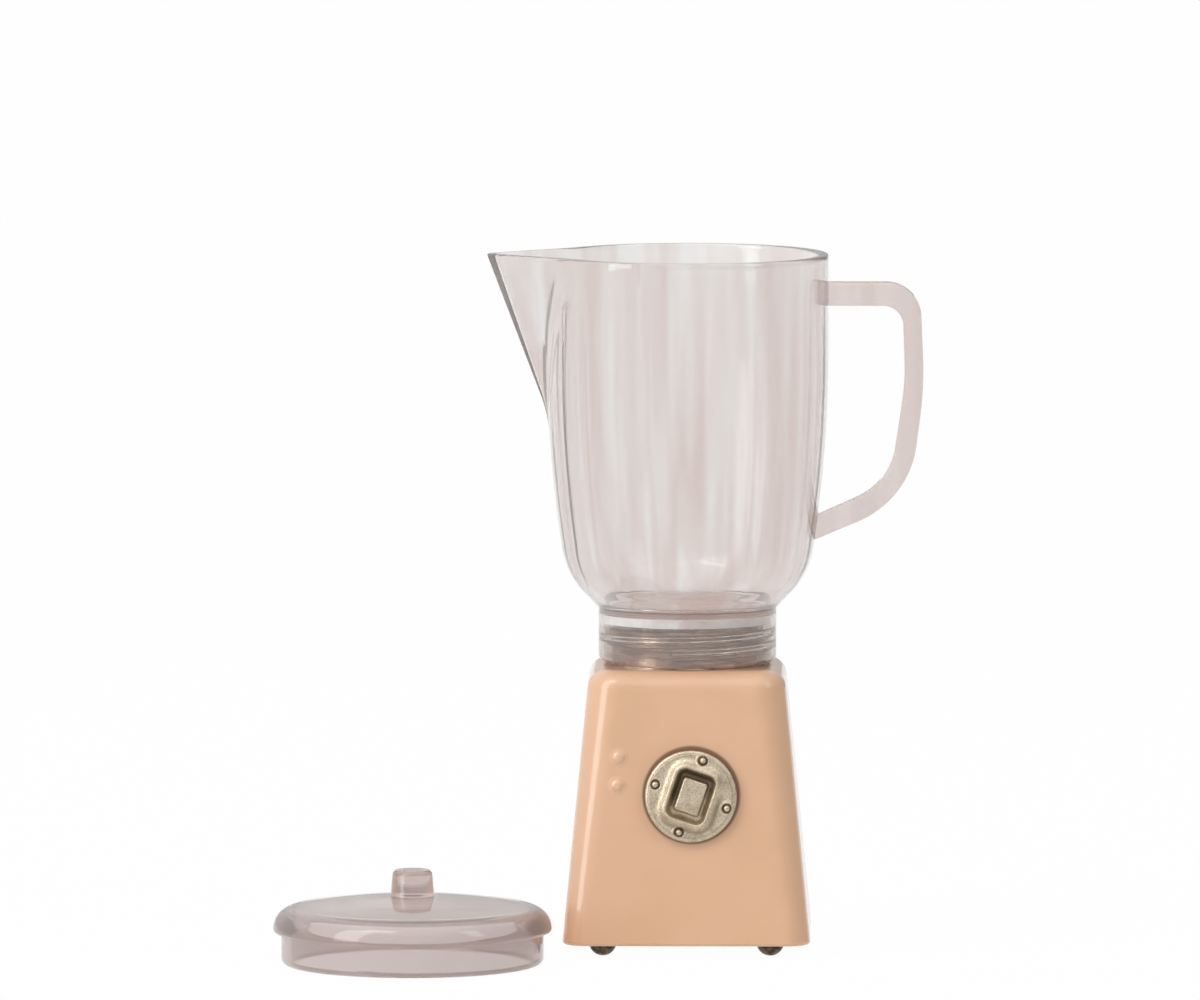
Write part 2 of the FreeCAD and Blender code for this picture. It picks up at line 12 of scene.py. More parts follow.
import bpy
import numpy as np
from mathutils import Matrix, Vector


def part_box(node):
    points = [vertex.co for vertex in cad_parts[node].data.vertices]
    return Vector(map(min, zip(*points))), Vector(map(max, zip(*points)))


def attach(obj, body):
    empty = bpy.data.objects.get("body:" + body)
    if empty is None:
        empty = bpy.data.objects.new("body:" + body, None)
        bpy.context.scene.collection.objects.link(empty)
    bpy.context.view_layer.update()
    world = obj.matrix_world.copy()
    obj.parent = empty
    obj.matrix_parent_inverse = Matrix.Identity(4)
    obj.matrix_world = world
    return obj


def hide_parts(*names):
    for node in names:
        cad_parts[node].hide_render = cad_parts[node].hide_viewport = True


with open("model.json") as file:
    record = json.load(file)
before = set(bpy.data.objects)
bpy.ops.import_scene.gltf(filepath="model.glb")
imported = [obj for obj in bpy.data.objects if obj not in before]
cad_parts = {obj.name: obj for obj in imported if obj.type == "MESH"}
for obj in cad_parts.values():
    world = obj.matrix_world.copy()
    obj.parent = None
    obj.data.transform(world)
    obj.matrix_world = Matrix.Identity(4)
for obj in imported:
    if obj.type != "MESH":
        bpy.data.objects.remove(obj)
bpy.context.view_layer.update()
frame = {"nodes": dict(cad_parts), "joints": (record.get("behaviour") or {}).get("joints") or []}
nodes = frame["nodes"]
MM = 0.001

# %% [markdown]
# Blender's shaders work in linear light, and colours are picked as sRGB hex
# values, so one function turns one into the other. A second one adds any node
# with its settings and its links in one line. Where an input is another node,
# it takes that node's first output in use, which keeps a material short enough
# to read. Two settings come up again and again: a range that eases in and out,
# and a mix of two colours.

# %% Colour and node helpers
eased = {"interpolation_type": "SMOOTHSTEP"}
in_colour = {"data_type": "RGBA"}


def linear(code):
    """sRGB hex to linear RGBA: s / 12.92 up to 0.04045, above it ((s + 0.055) / 1.055) to the power 2.4."""
    s = np.array([int(code[i:i + 2], 16) for i in (1, 3, 5)]) / 255
    rgb = np.where(s <= 0.04045, s / 12.92, ((s + 0.055) / 1.055) ** 2.4)
    return (*rgb.tolist(), 1.0)


def add(tree, kind, inputs=None, **settings):
    """One node of a kind. Inputs are numbers, colours, outputs or whole nodes, by socket name or place."""
    node = tree.nodes.new("ShaderNode" + kind)
    for name, value in settings.items():
        setattr(node, name, value)
    for name, value in (inputs or {}).items():
        if isinstance(value, bpy.types.Node):
            value = next(output for output in value.outputs if output.enabled)
        if isinstance(value, bpy.types.NodeSocket):
            tree.links.new(value, node.inputs[name])
        else:
            node.inputs[name].default_value = value
    return node


def new_material(name):
    """An empty node material, and its tree."""
    material = bpy.data.materials.new(name)
    material.use_nodes = True
    material.node_tree.nodes.clear()
    return material, material.node_tree


def in_millimetres(tree, centre=(0, 0, 0)):
    """Object coordinates in mm, measured from a centre in mm: 1000 p - c."""
    coords = add(tree, "TexCoord").outputs["Object"]
    per_mm = (1 / MM, 1 / MM, 1 / MM)
    return add(tree, "Mapping", {"Vector": coords, "Location": -Vector(centre), "Scale": per_mm})


def dress(material, *names):
    """Gives a material to CAD nodes, in their own slots."""
    for name in names:
        for slot in nodes[name].material_slots:
            slot.material = material
    print(material.name, "on", ", ".join(names))


print("peach in linear light:", [round(c, 3) for c in linear("#DDB28E")])

# %% [markdown]
# The jug is one clear moulding: threaded skirt, floor, round bowl and a V
# spout. A lathe shape with a wedge joined on would do for the outline, but a
# real mould blends the V into the round with an S-shaped curve, and a clear
# wall shows every crease. So the whole jug is one closed surface: a profile
# that runs from the middle of the floor up the inside, over the lip, down the
# outside and back under the floor. Every point of it is a ring, and the rings
# near the lip are drawn out into the spout. Its places come from the CAD boxes.

# %% Sizes of the jug, in mm
jug_low, jug_high = (np.array(corner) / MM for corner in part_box("jug_body"))
bowl_radius = jug_high[0]
rim_z = jug_high[2]
spout_reach = -jug_low[0]
enamel_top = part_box("base_shell")[1].z / MM
seal_low, seal_high = (corner.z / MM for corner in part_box("jug_seal"))
skirt_clearance = 0.12              # above the enamel
skirt_z = enamel_top + skirt_clearance
seal_clearance = 0.05               # between the seal and the floor
floor_thick = 1.0
floor_z = seal_high + seal_clearance
floor_top = floor_z + floor_thick
skirt_radius = 11.5
skirt_wall = 0.65
skirt_bore = skirt_radius - skirt_wall
skirt_edge = 1.1                    # round at the skirt's lower edge
skirt_corner = floor_top - 0.3
bowl_break = (13.2, skirt_corner + 1.75)
belly = (16.35, skirt_corner + 8.4)
bowl_full = (bowl_radius, skirt_corner + 31.8)
foot_bulge = 0.66                   # of the arc from bowl_break to belly
bowl_bulge = 0.42                   # of the arc from belly to bowl_full
wall = 1.15
lip_round = 0.3                     # edge radius of the rim
spout_drop = 20.7
spout_half = math.radians(39.5)
spout_lip = 1.5                     # wall at the spout's tip
spout_low_wall = 0.4                # wall at the spout's lowest point
spout_tip_turn = math.radians(2.2)  # how far either way the tip is rounded
ogee = 0.9                          # width of the blend between spout and bowl
axis_gap = 0.02                     # radius of the smallest ring, which a fan closes
print(f"jug: rim {rim_z:.2f} up, {2 * bowl_radius:.1f} across, spout {spout_reach:.1f} from the axis")

# %% [markdown]
# A moulding's outline is straight runs and arcs. Spelling out its points would
# hide that, so three small functions draw them: a line, an arc given by how far
# it bulges, and a copy of a curve moved sideways, which gives the inner wall
# from the outer one.

# %% Curves in the plane
def line(a, b, count):
    """Points (1 - t) a + t b for t from 0 to 1, without the last one."""
    t = np.linspace(0, 1, count, endpoint=False)[:, None]
    return np.array(a) * (1 - t) + np.array(b) * t


def arc(a, b, bulge, count):
    """Part of a circle from a to b, whose middle stands bulge to the right of the line.

    With half the chord c and the bulge s, the radius is (c^2 + s^2) / 2s, and a
    point at angle w from the middle is centre + radius (sin w along + cos w aside).
    """
    a, b = np.array(a, float), np.array(b, float)
    chord = b - a
    half = np.linalg.norm(chord) / 2
    along = chord / (2 * half)
    aside = np.array([along[1], -along[0]]) * np.sign(bulge)
    radius = (half ** 2 + bulge ** 2) / (2 * abs(bulge))
    centre = (a + b) / 2 - aside * (radius - abs(bulge))
    reach = math.asin(half / radius)
    w = np.linspace(-reach, reach, count, endpoint=False)[:, None]
    return centre + radius * (np.sin(w) * along + np.cos(w) * aside)


def inwards(points, distance):
    """The curve moved to its left by distance, along (-dz, dr) / length of its tangent."""
    tangent = np.gradient(points, axis=0)
    tangent /= np.linalg.norm(tangent, axis=1)[:, None]
    return points + distance * np.stack([-tangent[:, 1], tangent[:, 0]], axis=1)


print("an arc's points:", arc((1, 0), (0, 1), 0.3, 3).round(2).tolist())

# %% [markdown]
# The outline is one closed loop of radius and height. Only the outside of the
# bowl is drawn, and its inside is the same curve moved in by the wall, as a
# mould's core is. The rim's two edges are quarter circles, and the skirt's
# lower edge is a larger one that ends where it meets the bore.

# %% The jug's closed profile
lip_bulge = -lip_round * (1 - math.cos(math.radians(45)))   # of a quarter circle
outside_up = np.concatenate([
    line((skirt_radius, skirt_corner), bowl_break, 5),
    arc(bowl_break, belly, foot_bulge, 14),
    arc(belly, bowl_full, bowl_bulge, 46),
    line(bowl_full, (bowl_radius, rim_z - lip_round), 30),
])
inside_up = inwards(outside_up, wall)
inside_up = inside_up[inside_up[:, 1] > floor_top + 0.05]
foot_radius = inside_up[0, 0] - 0.3
inside = np.concatenate([
    line((axis_gap, floor_top), (foot_radius, floor_top), 9),
    inside_up,
])
inner_edge = (bowl_radius - wall, rim_z - lip_round)
inner_top = (bowl_radius - wall + lip_round, rim_z)
outer_top = (bowl_radius - lip_round, rim_z)
outer_edge = (bowl_radius, rim_z - lip_round)
lip = np.concatenate([
    arc(inner_edge, inner_top, lip_bulge, 4),
    line(inner_top, outer_top, 3),
    arc(outer_top, outer_edge, lip_bulge, 4),
])
edge_turn = np.linspace(0, math.acos((skirt_edge - skirt_wall) / skirt_edge), 9)[:, None]
edge_centre = np.array([skirt_radius - skirt_edge, skirt_z + skirt_edge])
skirt_round = edge_centre + skirt_edge * np.concatenate([np.cos(edge_turn), -np.sin(edge_turn)], axis=1)
skirt = np.concatenate([
    line((skirt_radius, skirt_corner), (skirt_radius, skirt_z + skirt_edge), 8),
    skirt_round,
    line((skirt_bore, skirt_round[-1, 1]), (skirt_bore, floor_z), 64)[1:],
    line((skirt_bore, floor_z), (axis_gap, floor_z), 8),
])
profile = np.concatenate([inside, lip, outside_up[::-1], skirt[1:], [[axis_gap, floor_z]]])
is_inside = np.arange(len(profile)) < len(inside)
print("jug profile:", len(profile), "rings")

# %% [markdown]
# A spout is a V seen from above, and its tip moves in as it goes down. In
# polar form a straight edge at angle h to the spout's middle line is
# t sin h / sin(h + a), with t the tip's distance and a the angle away from the
# tip. The round bowl and the V are then joined by a smooth maximum, which is
# the larger of the two with its corner eased over a set width.

# %% Rings of the jug, drawn out into the spout
def smooth_maximum(a, b, width):
    """The larger of a and b, plus (width - |a - b|)^2 / 4 width where they are closer than width."""
    near = np.clip(width - np.abs(a - b), 0, None)
    return np.maximum(a, b) + near ** 2 / (4 * width)


columns = 360
spout_sector = 1.2                  # radians either side in which the V can lie outside the bowl
spout_foot = -0.4                   # share of the drop at which the V has long gone into the bowl
widest = 2.6                        # radians, short of the half turn where sin is 0
even_share = 0.14                   # of the columns' spacing, which is otherwise closer at the tip
root = 0.1                          # how far inside the bowl the V's tip starts
u = np.arange(columns) / columns * 2 - 1
from_spout = math.pi * (even_share * u + (1 - even_share) * u ** 3)
heading = math.pi + from_spout
share = (profile[:, 1] - (rim_z - spout_drop)) / spout_drop
outer_tip = bowl_radius - root + (spout_reach - bowl_radius + root) * share
inner_tip = outer_tip - spout_low_wall - (spout_lip - spout_low_wall) * np.clip(share, 0, 1)
tip = np.where(is_inside, inner_tip, outer_tip)
lip_share = np.clip((profile[:, 0] - bowl_radius + wall) / wall, 0, 1)
on_lip = (profile[:, 1] > rim_z - lip_round - 0.01)
tip = np.where(on_lip, inner_tip + (outer_tip - inner_tip) * lip_share, tip)
away = np.sqrt(from_spout ** 2 + spout_tip_turn ** 2)
sharp = math.sin(spout_half + spout_tip_turn) / math.sin(spout_half)
edge = sharp * tip[:, None] * math.sin(spout_half) / np.sin(np.minimum(spout_half + away, widest))[None, :]
edge = np.where((away < spout_sector)[None, :] & (share > spout_foot)[:, None], edge, 0)
drawn_out = smooth_maximum(profile[:, :1], edge, ogee)
radius = np.where(share[:, None] > spout_foot, drawn_out, profile[:, :1] + 0 * u[None, :])
print(f"spout: {math.degrees(2 * spout_half):.0f} degrees across, {spout_drop} deep")

# %% [markdown]
# Two small things are moulded into the walls. The bore of the skirt carries
# the thread, a ridge that climbs one pitch each turn, and the inside of the
# bowl has shallow flutes that show as faint upright lines. Both are changes of
# radius on rings that are there already, so the surface stays closed.

# %% Thread and flutes
pitch = 1.6
thread_depth = 0.8
thread_turns = 1.25
thread_start = math.radians(-100.0)
thread_up = 1.45                    # from the enamel to the thread's lower end
thread_crest = 0.175                # half width of the ridge's top
thread_foot = 0.45                  # half width of its foot
thread_z = skirt_z - skirt_clearance + thread_up + pitch / 2
turned = np.mod(heading - thread_start, 2 * math.pi) / (2 * math.pi)
in_bore = (np.abs(profile[:, 0] - skirt_bore) < 0.01) & (profile[:, 1] < floor_z - 0.05) & ~is_inside
rise = profile[:, 1][:, None] - thread_z
lap = np.round(rise / pitch - turned[None, :])
run = np.clip(lap + turned[None, :], 0, thread_turns)
off_crest = np.hypot(rise - pitch * run, (lap + turned[None, :] - run) * 2 * math.pi * skirt_bore)
ridge = np.clip((thread_foot - off_crest) / (thread_foot - thread_crest), 0, 1)
radius = radius - in_bore[:, None] * thread_depth * ridge * ridge * (3 - 2 * ridge)

flute_count = 22
flute_depth = 0.1
flute_foot = (2, 6)                 # from the floor to where flutes begin, and on to where they are full
flute_head = (3, 10)                # the same, down from the rim
from_front = heading + math.pi / 2
edge_line = (1 - np.abs(np.sin(flute_count / 2 * from_front))) ** 3
fade_low = np.clip((profile[:, 1] - floor_top - flute_foot[0]) / flute_foot[1], 0, 1)
fade_high = np.clip((rim_z - flute_head[0] - profile[:, 1]) / flute_head[1], 0, 1)
radius = radius - (is_inside * fade_low * fade_high)[:, None] * flute_depth * edge_line[None, :]
print(f"thread: {thread_turns} turns of {pitch} mm, and {flute_count} flutes {flute_depth} mm deep")

# %% [markdown]
# Rings of points become a mesh when each point is joined to its neighbour on
# the ring and to the one on the next ring, and a fan of triangles closes each
# end. A closed mesh has a volume, and its sign tells whether the faces point
# outwards, which glass needs: a ray has to know if it goes in or comes out.

# %% From rings to a mesh
def ring_mesh(name, x, y, z):
    """A closed surface from rings: point (i, j) is on ring i at column j, in mm. Fans close its ends."""
    rings, across = x.shape
    points = np.stack([x, y, z], axis=-1).reshape(-1, 3) * MM
    i, j = np.meshgrid(np.arange(rings - 1), np.arange(across), indexing="ij")
    k = (j + 1) % across
    quads = np.stack([i * across + j, i * across + k, (i + 1) * across + k, (i + 1) * across + j], axis=-1)
    ends = np.stack([points[:across].mean(0), points[-across:].mean(0)])
    around = np.arange(across)
    after = (around + 1) % across
    last = (rings - 1) * across
    first_fan = np.stack([np.full(across, rings * across), after, around], axis=-1)
    last_fan = np.stack([np.full(across, rings * across + 1), last + around, last + after], axis=-1)
    faces = quads.reshape(-1, 4).tolist() + first_fan.tolist() + last_fan.tolist()
    mesh = bpy.data.meshes.new(name)
    mesh.from_pydata(np.concatenate([points, ends]).tolist(), [], faces)
    mesh.validate()
    mesh.shade_smooth()
    piece = bpy.data.objects.new(name, mesh)
    bpy.context.scene.collection.objects.link(piece)
    if signed_volume(piece) < 0:
        mesh.flip_normals()
    print(f"{name}: {len(mesh.vertices)} points, {signed_volume(piece):.1f} cubic mm")
    return piece


def signed_volume(piece):
    """Cubic mm inside a closed mesh, positive when its faces point outwards: sum of a . (b x c) / 6."""
    mesh = piece.data
    mesh.calc_loop_triangles()
    corners = np.empty(len(mesh.loop_triangles) * 3, np.int32)
    mesh.loop_triangles.foreach_get("vertices", corners)
    points = np.empty(len(mesh.vertices) * 3, np.float32)
    mesh.vertices.foreach_get("co", points)
    a, b, c = points.reshape(-1, 3)[corners.reshape(-1, 3)].transpose(1, 0, 2).astype(float)
    return float(np.einsum("ij,ij->i", a, np.cross(b, c)).sum() / 6 / MM ** 3)


jug = ring_mesh("clear_jug", radius * np.cos(heading)[None, :], radius * np.sin(heading)[None, :],
                profile[:, 1][:, None] + 0 * radius)
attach(jug, "jug")
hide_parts("jug_body")

# %% [markdown]
# The base is a zinc casting, sprayed with a thick peach stoving enamel. The
# paint gives a soft body colour under a glossy skin, with a very slight
# unevenness that bends reflections, called orange peel. A brown ring is painted
# round the dial. It is partly grime from years of turning and partly painted
# shade in the gap round the dial, and it is widest above it. A Principled shader
# with a clear coat does this: the coat carries the sharp highlight, and the body
# under it stays soft.

# %% Peach stoving enamel
dial_joint = next(j for j in frame["joints"] if j["name"] == "dial_turn")
dial_centre = np.array(dial_joint["pos_m"]) / MM
dial_out = np.array(dial_joint["axis"])
grime_and_shade_shift = np.array([0.05, 0, 0.2])   # the middle of the painted grime and shade ring, from the dial's
grime_and_shade_edge = (6.5, 6.1)                  # radii where the grime and painted shade begin and are full


def stoving_enamel():
    """Peach enamel: clouds 9 mm across, and orange peel 0.9 mm across under a hard coat."""
    material, tree = new_material("stoving_enamel_peach")
    where = in_millimetres(tree)
    cloud = add(tree, "TexNoise", {"Vector": where, "Scale": 1 / 9.0, "Detail": 3.0})
    cloud = add(tree, "MapRange", {0: cloud, 1: 0.3, 2: 0.7}, **eased)
    colour = add(tree, "Mix", {0: cloud, 6: linear("#DDB28E"), 7: linear("#E2B694")}, **in_colour)
    # A brown ring round the dial, widest above it: partly grime, partly painted shade in the gap round the
    # dial.
    from_dial = in_millimetres(tree, dial_centre + grime_and_shade_shift)
    off_dial = add(tree, "VectorMath", {0: from_dial}, operation="LENGTH").outputs["Value"]
    grime_and_shade = add(tree, "MapRange", {0: off_dial, 1: grime_and_shade_edge[0], 2: grime_and_shade_edge[1], 4: 0.9}, **eased)
    colour = add(tree, "Mix", {0: grime_and_shade, 6: colour, 7: linear("#7A4F2C")}, **in_colour)
    swell = add(tree, "TexNoise", {"Vector": where, "Scale": 1 / 5.0, "Detail": 1.0})
    swell = add(tree, "Bump", {"Height": swell, "Distance": 0.03 * MM})
    peel = add(tree, "TexNoise", {"Vector": where, "Scale": 1 / 0.9})
    uneven = add(tree, "Bump", {"Height": peel, "Distance": 0.004 * MM, "Normal": swell})
    shine = add(tree, "TexNoise", {"Vector": where, "Scale": 1 / 3.0, "Detail": 4.0})
    shine = add(tree, "MapRange", {0: shine, 1: 0.35, 2: 0.75, 3: 0.30, 4: 0.38}, **eased)
    body = add(tree, "BsdfPrincipled", {"Base Color": colour, "Roughness": shine, "Normal": uneven,
                                        "Coat Weight": 0.8, "Coat Roughness": 0.06, "Coat IOR": 1.5,
                                        "Coat Normal": uneven})
    add(tree, "OutputMaterial", {"Surface": body})
    return material


dress(stoving_enamel(), "base_shell")

# %% [markdown]
# The jug, its handle and the lid are moulded in clear styrene plastic. Old
# clear styrene isn't quite colourless: it is a warm mauve grey, and darker
# where one looks along a wall, because light goes through more of it there.
# Tinting the surface would colour every part alike, so most of the colour is
# an absorption inside the plastic. A small share of milky scattering stands
# for handling marks, and faint bands follow the way the plastic flowed into
# its mould. Light Path lets lamps shine through without the noise of focused
# light: for shadow rays only, the wall is a plain tint.

# %% Clear moulded styrene
styrene_ior = 1.49
darker_below_fade = 0.4                     # mm over which the darker colour fades out at its top


def clear_styrene(name, tint, deep, haze, clear, flow, darker_below=None):
    """Clear plastic: glass with a milky share, and absorption inside that takes most blue and least red.

    clear is the share of light that goes straight through each face. The rest scatters, as in aged plastic.
    flow is how many times per mm the flow bands change, along x, y and z, from the colour tint to deep.
    The last argument is a height in mm and a colour: under that height the plastic turns to that darker
    colour, which is painted shade on the lid.
    The absorption is 130 (1 - colour) per metre, so 4, 6 and 6 percent of red, green and blue go in each mm.
    """
    material, tree = new_material(name)
    where = in_millimetres(tree)
    smear = add(tree, "TexNoise", {"Vector": where, "Scale": 1 / 6.0})
    smear = add(tree, "MapRange", {0: smear, 1: 0.35, 2: 0.7, 3: haze, 4: 2 * haze}, **eased)
    along_flow = add(tree, "Mapping", {"Vector": where, "Scale": flow})
    bands = add(tree, "TexNoise", {"Vector": along_flow, "Scale": 1.0})
    bands = add(tree, "MapRange", {0: bands, 1: 0.38, 2: 0.62}, **eased)
    colour = add(tree, "Mix", {0: bands, 6: linear(tint), 7: linear(deep)}, **in_colour)
    # Under a given height the colour turns darker: painted shade on the lid's flange, a plain darker tone on
    # the jug's skirt.
    if darker_below is not None:
        top, grey = darker_below
        high = add(tree, "SeparateXYZ", {0: where}).outputs["Z"]
        under = add(tree, "MapRange", {0: high, 1: top, 2: top - darker_below_fade}, **eased)
        colour = add(tree, "Mix", {0: under, 6: colour, 7: linear(grey)}, **in_colour)
    glass = add(tree, "BsdfPrincipled", {"Base Color": colour, "Roughness": smear, "IOR": styrene_ior,
                                         "Transmission Weight": clear})
    through = add(tree, "BsdfTransparent", {"Color": linear("#F6F2F0")})
    in_shadow = add(tree, "LightPath").outputs["Is Shadow Ray"]
    surface = add(tree, "MixShader", {0: in_shadow, 1: glass, 2: through})
    inside = add(tree, "VolumeAbsorption", {"Color": linear("#D8C4BC"), "Density": 130.0})
    add(tree, "OutputMaterial", {"Surface": surface, "Volume": inside})
    return material


upright = (0.28, 0.28, 0.015)       # flow bands that stand up, for mouldings filled from their foot
level = (0.05, 0.05, 1.1)           # and level ones, for the lid
# The jug is darker below the seal's foot, over the neck.
neck_darker_below = (seal_low, "#DAD2CC")
lid_shoulder_drop = 1.3             # from the lid's top to its shoulder
# Painted shade on the lid's flange and brim, below its shoulder.
lid_painted_shade = (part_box("lid_cover")[1].z / MM - lid_shoulder_drop, "#D1C7C4")
jug_plastic = clear_styrene("moulded_styrene_clear", "#F5F6F6", "#ECE6E4", 0.015, 0.88, upright, neck_darker_below)
jug.data.materials.append(jug_plastic)
dress(clear_styrene("moulded_styrene_handle", "#EAE4E2", "#E2DAD8", 0.02, 0.88, upright), "jug_handle")
dress(clear_styrene("moulded_styrene_lid", "#F1ECE9", "#E0D7D4", 0.05, 0.8, level, lid_painted_shade), "lid_cover")
dress(clear_styrene("moulded_styrene_knob", "#E8E0DE", "#DDD3D1", 0.03, 0.8, upright), "lid_knob")

# %% [markdown]
# The dial is cast in a soft white alloy: a disc with a rounded edge, a raised
# ridge like a crater's, a trench inside it and a flat-topped grip in the
# middle. Each of its four pips sits in a small ring-shaped hollow. Everything
# on it is soft, because the sand mould rounds what it copies. The CAD solid has
# the right sizes with plain edges. A height field over the disc gives the soft
# forms: one function of two coordinates says how high the casting is there.

# %% Sizes of the dial, in mm, and its place
dial_across = np.array([1.0, 0.0, 0.0])
dial_up = np.cross(dial_out, dial_across)
dial_turned = math.radians(-18.5)
dial_radius = 6.0
dial_back = 0.12                    # off the enamel
dial_face = 1.1
rim_step = 5.35                     # radius where the flat face ends
rim_step_depth = 0.07
rim_round = 0.5
back_chamfer = 0.08
crest = (2.8, 3.5, 1.4)             # half width, half height and corner of the ridge's top line
crest_rise = 0.7
crest_slope = (0.62, 0.45)          # widths of the ridge outside and inside its top line
trench_depth = 0.3                  # below the face
trench_bank = (0.2, 0.9)            # inwards from the top line, where the trench begins and is deepest
grip = (1.58, 2.15, 0.35)           # half width, half height and corner
grip_rise = 0.95
grip_round = 0.24
grip_wall = (-0.02, 0.2)            # where the grip's wall begins and meets the trench
pip_circle = 4.86
pip_hollow = (0.52, 0.1, 0.22)      # radius of its middle, half width, depth
pip_lip = (0.78, 0.13, 0.07)        # raised ring round the hollow, in the same terms
bore = (1.02, 1.32)                 # radius of the hole for the spindle, and its inner end
trench_wash_and_shade = (0.15, 0.65)          # share of wash in the trench, and how much painted shade is added at the upper left
foot_shade = (0.5, 0.85, 0.3)        # painted shade at the ridge's foot: share, place off the top line, width
hollow_wash = (0.9, 0.12)           # share and width round the pips
step_wash = (0.3, 0.1)              # and at the rim's step
rim_shade = (0.8, 0.2)               # painted shade at the rim itself: share and width
print("dial centre in mm:", dial_centre.round(3).tolist(), "facing", dial_out.round(4).tolist())

# %% [markdown]
# Each form on the dial is a simple function of how far a point lies from
# something: from a rectangle with round corners for the ridge and the grip, or
# from the nearest pip. A round hill or an eased step of that distance gives its
# height. The same distances say where the dark wash stays, and where shade is
# painted on: at the trench's upper left, at the ridge's foot away from the
# upper left, and at the rim.

# %% The dial's height field
def outside_of(x, y, half_x, half_y, corner):
    """Distance from a rectangle with round corners, negative inside it.

    It is the length of the positive part of |p| - half + corner, less corner.
    """
    qx, qy = np.abs(x) - half_x + corner, np.abs(y) - half_y + corner
    return np.hypot(np.maximum(qx, 0), np.maximum(qy, 0)) + np.minimum(np.maximum(qx, qy), 0) - corner


def ease(value, low, high):
    """0 at low and 1 at high with level ends: t t (3 - 2 t)."""
    t = np.clip((value - low) / (high - low), 0, 1)
    return t * t * (3 - 2 * t)


def hill(value, width):
    """A round hill, exp(-(value / width)^2)."""
    return np.exp(-(value / width) ** 2)


def from_pips(x, y):
    """Distance to the nearest of the four pips."""
    middles = [(pip_circle * math.cos(a), pip_circle * math.sin(a)) for a in np.arange(4) * math.pi / 2]
    return np.min([np.hypot(x - pip_x, y - pip_y) for pip_x, pip_y in middles], axis=0)


def dial_height(x, y):
    """Height of the casting: the grip's top inside the grip's wall, and the ground outside it.

    The ground is the face plus the ridge's hill, less the trench and a ring round each pip.
    """
    off_crest = outside_of(x, y, *crest)
    ground = dial_face + crest_rise * hill(off_crest, np.where(off_crest > 0, *crest_slope))
    ground -= trench_depth * ease(-off_crest, *trench_bank)
    off_pip = from_pips(x, y)
    ground -= pip_hollow[2] * hill(off_pip - pip_hollow[0], pip_hollow[1])
    ground += pip_lip[2] * hill(off_pip - pip_lip[0], pip_lip[1])
    off_grip = outside_of(x, y, *grip)
    rounding = np.clip(off_grip + grip_round, 0, grip_round)
    top = dial_face + grip_rise - grip_round + np.sqrt(grip_round ** 2 - rounding ** 2)
    wall_share = ease(off_grip, *grip_wall)
    return top * (1 - wall_share) + ground * wall_share


def dial_wash_and_shade(x, y):
    """Share of dark colour, the largest of the trench's, ridge foot's, hollows', step's and rim's: wash in
    the hollows, the step and the trench, and painted shade at the trench's upper left, the ridge's foot and
    the rim.
    """
    off_crest, off_grip = outside_of(x, y, *crest), outside_of(x, y, *grip)
    # The trench's wash grows at the upper left with painted shade, where its wall faces down.
    to_upper_left = 0.8 * y - 0.6 * x
    upper_left = ease(to_upper_left, -1.6, 1.2)
    begins = 0.75 - 0.6 * upper_left
    trench = trench_wash_and_shade[0] + trench_wash_and_shade[1] * upper_left
    trench = trench * ease(-off_crest - begins, 0, 0.45) * ease(off_grip, -0.02, 0.14)
    # Painted shade at the ridge's foot, on the side away from the upper left.
    ridge_foot_shade = foot_shade[0] * hill(off_crest - foot_shade[1], foot_shade[2])
    ridge_foot_shade = ridge_foot_shade * (1 - ease(to_upper_left, -2.5, -0.5))
    hollow = hollow_wash[0] * hill(from_pips(x, y) - pip_hollow[0], hollow_wash[1])
    far = np.hypot(x, y)
    step = step_wash[0] * hill(far - rim_step, step_wash[1])
    # Painted shade at the rim's edge.
    rim = rim_shade[0] * ease(far, dial_radius - rim_shade[1], dial_radius)
    return np.maximum.reduce([trench, ridge_foot_shade, hollow, step, rim])


print(f"dial: grip {dial_height(0.0, 0.0):.2f} high, ridge {dial_height(crest[0], 0.0):.2f}")

# %% [markdown]
# The disc is made of rings like the jug. Those on its face are close together,
# so that the height field is caught, and the rest go round the edge, across
# the back and into the hole for the spindle. Then every ring is turned and laid
# in the plane of the dial's joint.

# %% The cast dial
dial_columns = 420
arc_turn = np.linspace(0, math.pi / 2, 8)
face_radius = np.concatenate([np.linspace(axis_gap, 3.0, 68), np.linspace(3.0, rim_step, 52)[1:]])
step_height = dial_face - rim_step_depth
edge_profile = np.concatenate([
    [(rim_step + 0.08, step_height)],
    np.stack([dial_radius - rim_round + rim_round * np.sin(arc_turn),
              step_height - rim_round + rim_round * np.cos(arc_turn)], axis=-1),
    [(dial_radius, dial_back + back_chamfer), (dial_radius - back_chamfer, dial_back)],
    [(bore[0], dial_back), bore, (axis_gap, bore[1])],
])
around = np.arange(dial_columns) / dial_columns * 2 * math.pi
ring_radius = np.concatenate([face_radius, edge_profile[:, 0]])[:, None] + 0 * around
flat_x, flat_y = ring_radius * np.cos(around), ring_radius * np.sin(around)
on_face = np.arange(len(ring_radius)) < len(face_radius)
height = np.where(on_face[:, None], dial_height(flat_x, flat_y),
                  np.concatenate([0 * face_radius, edge_profile[:, 1]])[:, None])
across = flat_x * math.cos(dial_turned) - flat_y * math.sin(dial_turned)
up = flat_x * math.sin(dial_turned) + flat_y * math.cos(dial_turned)
place = dial_centre + across[..., None] * dial_across + up[..., None] * dial_up + height[..., None] * dial_out
casting = ring_mesh("dial_casting", place[..., 0], place[..., 1], place[..., 2])
wash_and_shade = np.concatenate([dial_wash_and_shade(flat_x, flat_y).ravel(), [0, 0]]).astype(np.float32)
casting.data.attributes.new("wash_and_shade", "FLOAT", "POINT").data.foreach_set("value", wash_and_shade)
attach(casting, "dial")
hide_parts("dial_knob")
